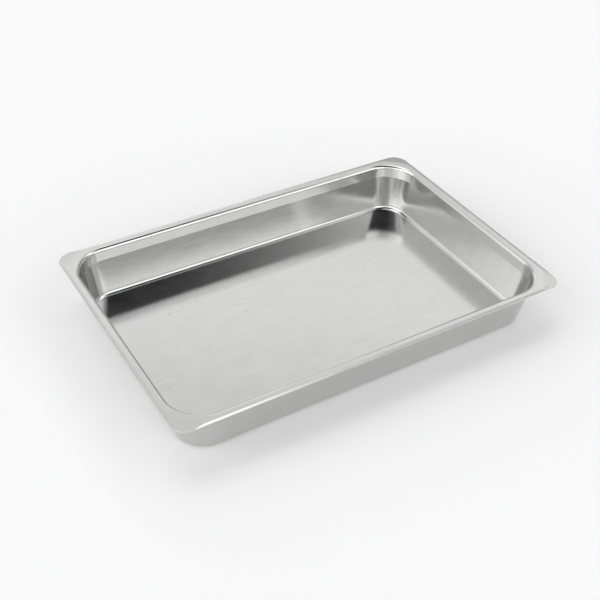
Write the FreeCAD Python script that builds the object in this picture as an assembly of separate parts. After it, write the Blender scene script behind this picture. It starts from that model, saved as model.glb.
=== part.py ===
import FreeCAD, Part
import math
import os

# Deep-drawn stainless steel food pan, one pressing, millimetres.
# Origin: centre of the underside of the base. +Z up, X along the long side.

# Overall sizes
LENGTH = 600.0
WIDTH = 400.0
HEIGHT = 75.0
SHEET = 1.0

# Rim
RIM_FLAT = 9.3            # flat part of the rim, from its outer edge to the roll
RIM_CORNER_RADIUS = 21.5  # outer corners of the rim
ROLL_RADIUS = 5.6         # top surface, where the rim turns down into the wall

# Wall, measured on the inside surface: inset is from the rim's outer edge, depth is below the rim
OPENING_CORNER_RADIUS = 50.0
UPPER_INSET = 15.0        # wall just under the roll
SHOULDER_INSET = 15.9     # bend where the steep upper band meets the tapering lower wall
SHOULDER_DEPTH = 19.4
SHOULDER_RADIUS = 4.0
FLOOR_INSET = 33.7        # where the flat floor starts
FLOOR_RADIUS = 7.0        # inside radius between wall and floor

SETTLE_STEPS = 40         # rounds of the sum that places the floor fillet
QUARTER_TURN = 90.0
OUT_DIR = "parts"


def unit(a, b):
    """Direction from a to b, and the distance."""
    dx, dy = b[0] - a[0], b[1] - a[1]
    length = math.hypot(dx, dy)
    return dx / length, dy / length, length


def floor_corner():
    """Point where the lower wall's line meets the floor, set so that the fillet ends at FLOOR_INSET."""
    floor_depth = HEIGHT - SHEET
    inset = FLOOR_INSET - FLOOR_RADIUS
    for _ in range(SETTLE_STEPS):
        turn = math.atan2(floor_depth - SHOULDER_DEPTH, inset - SHOULDER_INSET)
        inset = FLOOR_INSET - FLOOR_RADIUS * math.tan(turn / 2.0)
    return inset, -floor_depth


def inside_points(end_inset):
    """Sharp corners of the inside surface, (inset, height), from the rim to the floor."""
    lean = (SHOULDER_INSET - UPPER_INSET) / (SHOULDER_DEPTH - ROLL_RADIUS)
    return [
        (RIM_FLAT - ROLL_RADIUS, 0.0),
        (UPPER_INSET - lean * ROLL_RADIUS, 0.0),
        (SHOULDER_INSET, -SHOULDER_DEPTH),
        floor_corner(),
        (end_inset, -(HEIGHT - SHEET)),
    ]


def offset_points(points, distance):
    """The same chain of lines moved down and outwards by the sheet's thickness."""
    lines = []
    for a, b in zip(points, points[1:]):
        ux, uy, _ = unit(a, b)
        lines.append(((a[0] + uy * distance, a[1] - ux * distance), (ux, uy)))
    out = [lines[0][0]]
    for (p, u), (q, v) in zip(lines, lines[1:]):
        cross = u[0] * v[1] - u[1] * v[0]
        t = ((q[0] - p[0]) * v[1] - (q[1] - p[1]) * v[0]) / cross
        out.append((p[0] + u[0] * t, p[1] + u[1] * t))
    out.append((points[-1][0], points[-1][1] - distance))
    return out


def rounded_edges(points, radii, place):
    """Lines and tangent arcs along a chain of points; place turns (inset, height) into a vector."""
    edges = []
    start = points[0]
    for before, corner, after, radius in zip(points, points[1:], points[2:], radii):
        ux, uy, _ = unit(corner, before)
        vx, vy, _ = unit(corner, after)
        half = math.acos(ux * vx + uy * vy) / 2.0
        reach = radius / math.tan(half)
        first = (corner[0] + ux * reach, corner[1] + uy * reach)
        last = (corner[0] + vx * reach, corner[1] + vy * reach)
        bx, by, _ = unit((0.0, 0.0), (ux + vx, uy + vy))
        gap = radius / math.sin(half) - radius
        middle = (corner[0] + bx * gap, corner[1] + by * gap)
        edges.append(Part.makeLine(place(start), place(first)))
        edges.append(Part.Arc(place(first), place(middle), place(last)).toShape())
        start = last
    edges.append(Part.makeLine(place(start), place(points[-1])))
    return edges


def wall_section(place, end_inset):
    """Cut face of the sheet from the rim's roll to end_inset on the floor."""
    inner = inside_points(end_inset)
    outer = offset_points(inner, SHEET)
    inner_radii = [ROLL_RADIUS, SHOULDER_RADIUS, FLOOR_RADIUS]
    outer_radii = [ROLL_RADIUS - SHEET, SHOULDER_RADIUS + SHEET, FLOOR_RADIUS + SHEET]
    edges = rounded_edges(inner, inner_radii, place)
    edges.append(Part.makeLine(place(inner[-1]), place(outer[-1])))
    edges += rounded_edges(outer, outer_radii, place)
    edges.append(Part.makeLine(place(outer[0]), place(inner[0])))
    return Part.Face(Part.Wire(Part.__sortEdges__(edges)))


def rounded_plate(inset, radius, thickness):
    """Plate with rounded corners, its top face at the top of the rim."""
    x, y = LENGTH / 2.0 - inset, WIDTH / 2.0 - inset
    plate = Part.makeBox(2 * x, 2 * y, thickness, FreeCAD.Vector(-x, -y, HEIGHT - thickness))
    uprights = [e for e in plate.Edges if abs(e.tangentAt(e.FirstParameter).z) > 0.5]
    return plate.makeFillet(radius, uprights)


def make_rim(axis_inset):
    """Flat rim: a plate with the pan's opening cut out of it."""
    inner = RIM_FLAT - ROLL_RADIUS
    plate = rounded_plate(0.0, RIM_CORNER_RADIUS, SHEET)
    return plate.cut(rounded_plate(inner, axis_inset - inner, SHEET))


def make_sides(axis_inset):
    """The four straight walls, each with its strip of floor."""
    half_x, half_y = LENGTH / 2.0, WIDTH / 2.0
    long_run = LENGTH - 2 * axis_inset
    short_run = WIDTH - 2 * axis_inset
    sides = []
    for s in (-1.0, 1.0):
        face = wall_section(
            lambda p: FreeCAD.Vector(-long_run / 2, s * (half_y - p[0]), HEIGHT + p[1]), axis_inset)
        sides.append(face.extrude(FreeCAD.Vector(long_run, 0, 0)))
        face = wall_section(
            lambda p: FreeCAD.Vector(s * (half_x - p[0]), -short_run / 2, HEIGHT + p[1]), axis_inset)
        sides.append(face.extrude(FreeCAD.Vector(0, short_run, 0)))
    return sides


def make_corners(axis_inset):
    """The four corners: the wall's section turned a quarter about an upright axis."""
    upright = FreeCAD.Vector(0, 0, 1)
    corner_x, corner_y = LENGTH / 2.0 - axis_inset, WIDTH / 2.0 - axis_inset
    corners = []
    for quarter, (sx, sy) in enumerate(((1, 1), (-1, 1), (-1, -1), (1, -1))):
        face = wall_section(
            lambda p: FreeCAD.Vector(axis_inset - p[0], 0, HEIGHT + p[1]), axis_inset)
        corner = face.revolve(FreeCAD.Vector(), upright, QUARTER_TURN)
        corner.rotate(FreeCAD.Vector(), upright, quarter * QUARTER_TURN)
        corner.translate(FreeCAD.Vector(sx * corner_x, sy * corner_y, 0))
        corners.append(corner)
    return corners


def make_pan():
    axis_inset = UPPER_INSET + OPENING_CORNER_RADIUS
    x, y = LENGTH / 2.0 - axis_inset, WIDTH / 2.0 - axis_inset
    floor = Part.makeBox(2 * x, 2 * y, SHEET, FreeCAD.Vector(-x, -y, 0))
    pieces = make_sides(axis_inset) + make_corners(axis_inset) + [make_rim(axis_inset)]
    pan = floor.multiFuse(pieces).removeSplitter()
    return pan.Solids[0]


os.makedirs(OUT_DIR, exist_ok=True)
pan = make_pan()
pan.exportStep(os.path.join(OUT_DIR, "pan.step"))
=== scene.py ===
import math

import bpy
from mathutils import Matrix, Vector


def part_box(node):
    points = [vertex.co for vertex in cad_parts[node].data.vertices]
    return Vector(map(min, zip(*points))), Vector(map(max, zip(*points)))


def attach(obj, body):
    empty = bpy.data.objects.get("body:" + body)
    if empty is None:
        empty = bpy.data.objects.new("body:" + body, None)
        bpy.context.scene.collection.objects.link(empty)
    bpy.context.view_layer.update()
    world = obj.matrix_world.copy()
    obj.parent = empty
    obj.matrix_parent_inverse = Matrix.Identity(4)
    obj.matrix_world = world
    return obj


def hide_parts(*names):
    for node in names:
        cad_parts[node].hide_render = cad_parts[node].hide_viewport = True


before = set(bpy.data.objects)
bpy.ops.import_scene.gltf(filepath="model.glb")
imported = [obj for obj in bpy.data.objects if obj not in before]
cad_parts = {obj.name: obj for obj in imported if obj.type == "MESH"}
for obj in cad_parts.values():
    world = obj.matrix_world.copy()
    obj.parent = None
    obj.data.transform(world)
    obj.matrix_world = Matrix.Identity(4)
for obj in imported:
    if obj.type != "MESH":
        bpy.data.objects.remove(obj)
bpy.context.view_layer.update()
low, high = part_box("pan")

# Pan sizes in metres. Inset is measured in from the rim's outer edge, depth down from its top face.
LENGTH = high.x - low.x
WIDTH = high.y - low.y
RIM_TOP = high.z
SHEET = 0.001
RIM_CORNER = 0.0215
ROLL = 0.0056
OPENING_CORNER = 0.050
UPPER_INSET = 0.0150
SHOULDER_INSET = 0.0159
SHOULDER_DEPTH = 0.0194
SHOULDER_BEND = 0.004
FLOOR_INSET = 0.0337
FLOOR_DEPTH = RIM_TOP - low.z - SHEET
FLOOR_BEND = 0.007
SETTLE_STEPS = 40         # rounds of the sum that places the bend into the floor
EDGE_ROUND = 0.00025      # softening of the cut edge
EDGE_STEPS = 2
EDGE_ANGLE = math.radians(60.0)

CORNER_STEPS = 28         # flats round a quarter corner
BEND_STEPS = 10           # flats round a bend in the section
GUARD = 0.0006            # width of the strip that keeps a flat face flat beside a bend
ON_RIM = 0.00006          # how near the rim's top face a point lies to count as on it
RIM_LOOPS = 24            # rows of flats across the rim
FOLD_RADIUS = 0.066       # soft fold round each rim corner, from the opening corner's centre
FOLD_WIDTH = 0.0012
TIP_TILT = math.radians(3.5)
TIP_REACH = 0.002         # drop for a full weight in the tips group

STEEL_TONE = 0.62
STEEL_CAST = (1.0, 1.0, 0.995)
STEEL_ROUGH = 0.155

# Marks in the sheet: how many to the metre, stretch along x, y and z, and detail.
ROLLED_GRAIN = (900.0, (0.03, 1.0, 0.03), 3.0)
ROLLED_LINES = (260.0, (0.04, 1.0, 0.04), 2.0)
MOTTLE = (34.0, (0.7, 1.0, 1.0), 4.0)
SMUDGES = (110.0, (1.0, 1.0, 1.0), 0.0)
DRAWN_STREAKS = (120.0, (1.0, 1.0, 0.05), 2.0)
SHEET_WAVES = (9.0, (0.6, 1.0, 1.0), 0.0)

NOISE_SPAN = (0.3, 0.7)       # the part of a noise's range that a mark uses
SMUDGE_SPAN = (0.76, 0.82)    # only its peaks, so that smudges are few
WALL_SPAN = (0.35, 0.75)      # how upright a face is, from wall to floor
MOTTLE_TONE = 0.012           # how far each mark moves the tone
LINE_TONE = 0.008
SMUDGE_TONE = 0.035
MOTTLE_ROUGH = 0.012          # and the roughness
GRAIN_ROUGH = 0.02
SMUDGE_ROUGH = 0.04
WAVE_DEPTH = 0.00012          # depths of the marks, metres
STREAK_DEPTH = 0.000004
LINE_DEPTH = 0.0000015
GRAIN_DEPTH = 0.0000004


# ---------------------------------------------------------------- section of the sheet

def direction(a, b):
    """Unit step from a to b."""
    return (b - a).normalized()


def bend_points(before, corner, after, radius):
    """Points round a bend of this radius where two straight runs of the section meet."""
    u, v = direction(corner, before), direction(corner, after)
    half = u.angle(v) / 2.0
    middle = corner + (u + v).normalized() * (radius / math.sin(half))
    start = corner + u * (radius / math.tan(half)) - middle
    turn = math.pi - 2.0 * half
    if u.x * v.y - u.y * v.x > 0.0:
        turn = -turn
    points = []
    for i in range(BEND_STEPS + 1):
        a = turn * i / BEND_STEPS
        c, s = math.cos(a), math.sin(a)
        points.append(middle + Vector((start.x * c - start.y * s, start.x * s + start.y * c)))
    return points


def floor_corner():
    """Where the lower wall's line meets the floor, so that the bend ends at FLOOR_INSET."""
    inset = FLOOR_INSET - FLOOR_BEND
    for _ in range(SETTLE_STEPS):
        turn = math.atan2(FLOOR_DEPTH - SHOULDER_DEPTH, inset - SHOULDER_INSET)
        inset = FLOOR_INSET - FLOOR_BEND * math.tan(turn / 2.0)
    return Vector((inset, -FLOOR_DEPTH))


def inside_section():
    """The pan's inside surface from rim to floor, as points of inset and height below the rim."""
    lean = (SHOULDER_INSET - UPPER_INSET) / (SHOULDER_DEPTH - ROLL)
    sharp = [
        Vector((0.0, 0.0)),
        Vector((UPPER_INSET - lean * ROLL, 0.0)),
        Vector((SHOULDER_INSET, -SHOULDER_DEPTH)),
        floor_corner(),
        Vector((WIDTH / 2.0, -FLOOR_DEPTH)),
    ]
    bends = [ROLL, SHOULDER_BEND, FLOOR_BEND]
    points = []
    for a, b, c, radius in zip(sharp, sharp[1:], sharp[2:], bends):
        arc = bend_points(a, b, c, radius)
        points.append(arc[0] + direction(b, a) * GUARD)
        points += arc
        points.append(arc[-1] + direction(b, c) * GUARD)
    return points


# ---------------------------------------------------------------- modelling helpers

def deselect_all():
    for piece in bpy.context.selected_objects:
        piece.select_set(False)


def start_mesh(name):
    """A new piece to shape: one unit plane, in edit mode, all of it selected."""
    deselect_all()
    bpy.ops.mesh.primitive_plane_add(size=1.0, location=(0.0, 0.0, RIM_TOP))
    piece = bpy.context.active_object
    piece.name = name
    piece.data.name = name
    bpy.ops.object.transform_apply(location=True, rotation=True, scale=True)
    bpy.ops.object.mode_set(mode="EDIT")
    bpy.ops.mesh.select_all(action="SELECT")
    return piece


def rounded_outline(inset, radius):
    """The selected unit plane becomes a round-cornered plate, this far inside the rim's edge."""
    middle = (0.0, 0.0, RIM_TOP)
    size = (LENGTH - 2.0 * inset, WIDTH - 2.0 * inset, 1.0)
    bpy.ops.transform.resize(value=size, center_override=middle)
    bpy.ops.mesh.bevel(offset=radius, segments=CORNER_STEPS, profile=0.5, affect="VERTICES")


def draw_bowl(section):
    """The selected plate is pressed down ring by ring to the floor."""
    for a, b in zip(section, section[1:]):
        bpy.ops.mesh.inset(thickness=b.x - a.x, depth=0.0, use_even_offset=True)
        bpy.ops.transform.translate(value=(0.0, 0.0, b.y - a.y))


def press_pan():
    """The pan's inside face: the bowl drawn from one plate, bridged to the rim's outer edge."""
    section = inside_section()
    pan = start_mesh("pan_sheet")
    rounded_outline(section[0].x, UPPER_INSET + OPENING_CORNER - section[0].x)
    draw_bowl(section)
    bpy.ops.mesh.select_all(action="DESELECT")
    bpy.ops.mesh.primitive_plane_add(size=1.0, location=(0.0, 0.0, RIM_TOP))
    rounded_outline(0.0, RIM_CORNER)
    bpy.ops.mesh.delete(type="ONLY_FACE")
    bpy.ops.mesh.select_all(action="DESELECT")
    bpy.ops.mesh.select_mode(type="EDGE")
    bpy.ops.mesh.select_non_manifold(
        extend=False, use_wire=True, use_boundary=True,
        use_multi_face=False, use_non_contiguous=False, use_verts=False,
    )
    bpy.ops.mesh.bridge_edge_loops(
        type="PAIRS", number_cuts=RIM_LOOPS, interpolation="LINEAR",
    )
    bpy.ops.mesh.select_all(action="SELECT")
    bpy.ops.mesh.normals_make_consistent(inside=False)
    bpy.ops.object.mode_set(mode="OBJECT")
    return pan


def tip_drop(place):
    """How far the rim's corner tips sit below its flat sides at this place."""
    across = abs(place.x) - (LENGTH / 2.0 - UPPER_INSET - OPENING_CORNER)
    along = abs(place.y) - (WIDTH / 2.0 - UPPER_INSET - OPENING_CORNER)
    if across <= 0.0 or along <= 0.0:
        return 0.0
    past = math.hypot(across, along) - FOLD_RADIUS
    return math.tan(TIP_TILT) * 0.5 * (past + math.hypot(past, FOLD_WIDTH))


def fold_tips(pan):
    """The rim's four tips are drawn down a little as the corners are pressed."""
    group = pan.vertex_groups.new(name="tips")
    for v in pan.data.vertices:
        drop = tip_drop(v.co)
        if drop > 0.0 and v.co.z > RIM_TOP - ON_RIM:
            group.add([v.index], min(1.0, drop / TIP_REACH), "REPLACE")
    press = pan.modifiers.new("tips", "DISPLACE")
    press.direction = "Z"
    press.vertex_group = group.name
    press.mid_level = 0.0
    press.strength = -TIP_REACH
    bpy.context.view_layer.objects.active = pan
    bpy.ops.object.modifier_apply(modifier=press.name)


def finish_sheet(pan):
    """Sheet thickness, a softened cut edge and smooth shading."""
    solid = pan.modifiers.new("sheet", "SOLIDIFY")
    solid.thickness = SHEET
    solid.offset = -1.0
    solid.use_even_offset = True
    bpy.context.view_layer.objects.active = pan
    bpy.ops.object.modifier_apply(modifier=solid.name)
    edge = pan.modifiers.new("edge", "BEVEL")
    edge.width = EDGE_ROUND
    edge.segments = EDGE_STEPS
    edge.limit_method = "ANGLE"
    edge.angle_limit = EDGE_ANGLE
    bpy.ops.object.modifier_apply(modifier=edge.name)
    pan.select_set(True)
    bpy.ops.object.shade_smooth()
    weighted = pan.modifiers.new("flats", "WEIGHTED_NORMAL")
    weighted.weight = 100
    bpy.ops.object.modifier_apply(modifier=weighted.name)


# ---------------------------------------------------------------- steel

def stretched_noise(nodes, links, place, marks):
    """Noise on the pan's own coordinates, for one of the kinds of mark above."""
    per_metre, stretch, detail = marks
    mapping = nodes.new("ShaderNodeMapping")
    mapping.inputs["Scale"].default_value = stretch
    noise = nodes.new("ShaderNodeTexNoise")
    noise.inputs["Scale"].default_value = per_metre
    noise.inputs["Detail"].default_value = detail
    links.new(place, mapping.inputs["Vector"])
    links.new(mapping.outputs["Vector"], noise.inputs["Vector"])
    return noise.outputs["Fac"]


def spread(nodes, links, value, before, after):
    """The value carried from one range to another, smoothly."""
    span = nodes.new("ShaderNodeMapRange")
    span.interpolation_type = "SMOOTHSTEP"
    links.new(value, span.inputs["Value"])
    for name, number in zip(("From Min", "From Max", "To Min", "To Max"), before + after):
        span.inputs[name].default_value = number
    return span.outputs["Result"]


def combine(nodes, links, how, a, b):
    """One sum of two values, each a plain number or a node's output."""
    node = nodes.new("ShaderNodeMath")
    node.operation = how
    for socket, value in zip(node.inputs, (a, b)):
        if isinstance(value, float):
            socket.default_value = value
        else:
            links.new(value, socket)
    return node.outputs["Value"]


def press_bump(nodes, links, height, depth, under=None):
    """Marks this deep, on top of the marks in under."""
    bump = nodes.new("ShaderNodeBump")
    bump.inputs["Strength"].default_value = 1.0
    bump.inputs["Distance"].default_value = depth
    links.new(height, bump.inputs["Height"])
    if under is not None:
        links.new(under, bump.inputs["Normal"])
    return bump.outputs["Normal"]


def satin_steel():
    """Cold-rolled stainless steel: grain along the sheet's length, streaks down the drawn walls."""
    mat = bpy.data.materials.new("satin_steel")
    mat.use_nodes = True
    nodes, links = mat.node_tree.nodes, mat.node_tree.links
    shader = nodes["Principled BSDF"]
    shader.inputs["Metallic"].default_value = 1.0
    place = nodes.new("ShaderNodeTexCoord").outputs["Object"]
    facing = nodes.new("ShaderNodeSeparateXYZ")
    links.new(nodes.new("ShaderNodeNewGeometry").outputs["Normal"], facing.inputs["Vector"])
    upright = combine(nodes, links, "ABSOLUTE", facing.outputs["Z"], 0.0)
    wall = spread(nodes, links, upright, WALL_SPAN, (1.0, 0.0))

    rolled, lines, mottle, smudge, drawn, waves = (
        stretched_noise(nodes, links, place, marks)
        for marks in (ROLLED_GRAIN, ROLLED_LINES, MOTTLE, SMUDGES, DRAWN_STREAKS, SHEET_WAVES)
    )
    spots = spread(nodes, links, smudge, SMUDGE_SPAN, (0.0, 1.0))

    tone = spread(nodes, links, mottle, NOISE_SPAN, (-MOTTLE_TONE, MOTTLE_TONE))
    fine = spread(nodes, links, lines, NOISE_SPAN, (-LINE_TONE, LINE_TONE))
    tone = combine(nodes, links, "ADD", tone, fine)
    darker = combine(nodes, links, "MULTIPLY", spots, SMUDGE_TONE)
    tone = combine(nodes, links, "SUBTRACT", tone, darker)
    level = combine(nodes, links, "ADD", tone, STEEL_TONE)
    colour = nodes.new("ShaderNodeCombineColor")
    for name, part in zip(("Red", "Green", "Blue"), STEEL_CAST):
        links.new(combine(nodes, links, "MULTIPLY", level, part), colour.inputs[name])
    links.new(colour.outputs["Color"], shader.inputs["Base Color"])

    around = (STEEL_ROUGH - MOTTLE_ROUGH, STEEL_ROUGH + MOTTLE_ROUGH)
    rough = spread(nodes, links, mottle, NOISE_SPAN, around)
    fine = spread(nodes, links, rolled, NOISE_SPAN, (-GRAIN_ROUGH, GRAIN_ROUGH))
    rough = combine(nodes, links, "ADD", rough, fine)
    duller = combine(nodes, links, "MULTIPLY", spots, SMUDGE_ROUGH)
    rough = combine(nodes, links, "ADD", rough, duller)
    links.new(rough, shader.inputs["Roughness"])

    streaks = combine(nodes, links, "MULTIPLY", drawn, wall)
    normal = press_bump(nodes, links, waves, WAVE_DEPTH)
    normal = press_bump(nodes, links, streaks, STREAK_DEPTH, normal)
    normal = press_bump(nodes, links, lines, LINE_DEPTH, normal)
    normal = press_bump(nodes, links, rolled, GRAIN_DEPTH, normal)
    links.new(normal, shader.inputs["Normal"])
    return mat


# ---------------------------------------------------------------- studio

CAMERA_PLACE = Vector((-0.60705, -0.93449, 0.91770))
CAMERA_AIM = Vector((-0.02176, -0.01658, 0.040))
CAMERA_ROLL = math.radians(2.317)
CAMERA_LENS = 59.17
CAMERA_SENSOR = 36.0

FLOOR_SIZE = 60.0
FLOOR_TONE = 0.95
FLOOR_ROUGH = 0.9
BACKDROP_TONE = 0.93       # plain and pale beyond the floor

# Soft panels, in degrees: bearing (0 is right, 90 behind) and half width, with how soft the sides
# are, then bottom and top height, with how soft those edges are, then strength.
SOFT_PANELS = [
    (177.0, 32.0, 14.0, -8.0, 47.0, 12.0, 2.0),    # big window, left
    (-155.0, 16.0, 8.0, -8.0, 20.0, 6.0, 0.7),     # its lower front edge
    (-125.0, 24.0, 8.0, -8.0, 44.0, 8.0, 1.25),    # front left
    (-78.0, 26.0, 6.0, -8.0, 46.5, 2.5, 1.5),      # window in front
    (-75.0, 20.0, 6.0, 32.0, 46.5, 2.5, 0.4),      # its brighter top
    (-72.0, 20.0, 8.0, -8.0, 18.0, 8.0, 0.3),      # and foot
    (-42.0, 13.0, 5.0, -8.0, 36.0, 6.0, 0.9),      # front right, low
    (-28.0, 15.0, 6.0, 33.0, 50.0, 4.0, 1.8),      # front right, bright
    (-14.0, 30.0, 8.0, 46.0, 62.0, 8.0, 0.6),      # front right, above
    (5.0, 30.0, 10.0, -8.0, 66.0, 10.0, 0.45),     # right, dim
    (5.0, 22.0, 8.0, 42.0, 66.0, 8.0, 0.3),        # right, above
    (97.0, 66.0, 12.0, -8.0, 30.0, 5.0, 0.5),      # behind, low
    (66.0, 34.0, 10.0, 30.0, 64.0, 8.0, 0.85),     # behind, white card
    (58.0, 30.0, 8.0, 30.0, 42.0, 5.0, 0.3),       # its brighter foot
    (118.0, 18.0, 10.0, 30.0, 64.0, 8.0, 0.9),     # a second card beside it
    (150.0, 20.0, 10.0, 28.0, 64.0, 10.0, 0.5),    # behind left
    (80.0, 18.0, 6.0, 10.0, 27.0, 5.0, 0.9),       # lamp behind, low
    (100.0, 70.0, 15.0, 62.0, 80.0, 5.0, 2.0),     # strip high up behind, for a pale table
    (130.0, 80.0, 20.0, 70.0, 99.0, 8.0, 0.35),    # ceiling, left and behind
    (0.0, 180.0, 1.0, 80.0, 99.0, 6.0, 0.6),       # ceiling, middle
]


def add_camera():
    data = bpy.data.cameras.new("camera")
    data.lens = CAMERA_LENS
    data.sensor_width = CAMERA_SENSOR
    camera = bpy.data.objects.new("camera", data)
    bpy.context.scene.collection.objects.link(camera)
    look = (CAMERA_AIM - CAMERA_PLACE).to_track_quat("-Z", "Y").to_matrix().to_4x4()
    camera.matrix_world = look
    camera.location = CAMERA_PLACE
    camera.rotation_euler.rotate_axis("Z", CAMERA_ROLL)
    bpy.context.scene.camera = camera


def add_floor():
    deselect_all()
    bpy.ops.mesh.primitive_plane_add(size=FLOOR_SIZE, location=(0.0, 0.0, low.z))
    floor = bpy.context.active_object
    floor.name = "studio_floor"
    mat = bpy.data.materials.new("floor_paint")
    mat.use_nodes = True
    shader = mat.node_tree.nodes["Principled BSDF"]
    shader.inputs["Base Color"].default_value = (FLOOR_TONE, FLOOR_TONE, FLOOR_TONE, 1.0)
    shader.inputs["Roughness"].default_value = FLOOR_ROUGH
    floor.data.materials.append(mat)


def soft_step(nodes, links, value, edge, softness, rising):
    """0 before the edge and 1 after it, or the other way round. Both are in degrees."""
    span = (math.radians(edge - softness), math.radians(edge + softness))
    return spread(nodes, links, value, span, (0.0, 1.0) if rising else (1.0, 0.0))


def light_the_studio():
    """Soft panels all round the table, as light that comes from far off."""
    world = bpy.data.worlds.new("studio")
    bpy.context.scene.world = world
    world.use_nodes = True
    nodes, links = world.node_tree.nodes, world.node_tree.links
    ray = nodes.new("ShaderNodeVectorMath")
    ray.operation = "NORMALIZE"
    links.new(nodes.new("ShaderNodeTexCoord").outputs["Generated"], ray.inputs[0])
    parts = nodes.new("ShaderNodeSeparateXYZ")
    links.new(ray.outputs["Vector"], parts.inputs["Vector"])
    height = combine(nodes, links, "ARCSINE", parts.outputs["Z"], 0.0)
    flat = nodes.new("ShaderNodeVectorMath")
    flat.operation = "MULTIPLY"
    flat.inputs[1].default_value = (1.0, 1.0, 0.0)
    links.new(ray.outputs["Vector"], flat.inputs[0])
    compass = nodes.new("ShaderNodeVectorMath")
    compass.operation = "NORMALIZE"
    links.new(flat.outputs["Vector"], compass.inputs[0])

    total = None
    for bearing, half_width, side_soft, bottom, top, edge_soft, strength in SOFT_PANELS:
        toward = nodes.new("ShaderNodeVectorMath")
        toward.operation = "DOT_PRODUCT"
        links.new(compass.outputs["Vector"], toward.inputs[0])
        angle = math.radians(bearing)
        toward.inputs[1].default_value = (math.cos(angle), math.sin(angle), 0.0)
        off_axis = combine(nodes, links, "ARCCOSINE", toward.outputs["Value"], 0.0)
        panel = soft_step(nodes, links, off_axis, half_width, side_soft, False)
        for edge, rising in ((bottom, True), (top, False)):
            side = soft_step(nodes, links, height, edge, edge_soft, rising)
            panel = combine(nodes, links, "MULTIPLY", panel, side)
        panel = combine(nodes, links, "MULTIPLY", panel, strength)
        total = panel if total is None else combine(nodes, links, "ADD", total, panel)
    beyond = nodes.new("ShaderNodeMix")
    links.new(nodes.new("ShaderNodeLightPath").outputs["Is Camera Ray"], beyond.inputs["Factor"])
    links.new(total, beyond.inputs["A"])
    beyond.inputs["B"].default_value = BACKDROP_TONE
    sky = nodes["Background"]
    sky.inputs["Color"].default_value = (1.0, 1.0, 1.0, 1.0)
    links.new(beyond.outputs["Result"], sky.inputs["Strength"])


pan = press_pan()
fold_tips(pan)
finish_sheet(pan)
pan.data.materials.append(satin_steel())
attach(pan, "root")
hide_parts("pan")

add_floor()
add_camera()
light_the_studio()
bpy.context.scene.view_settings.view_transform = "Standard"
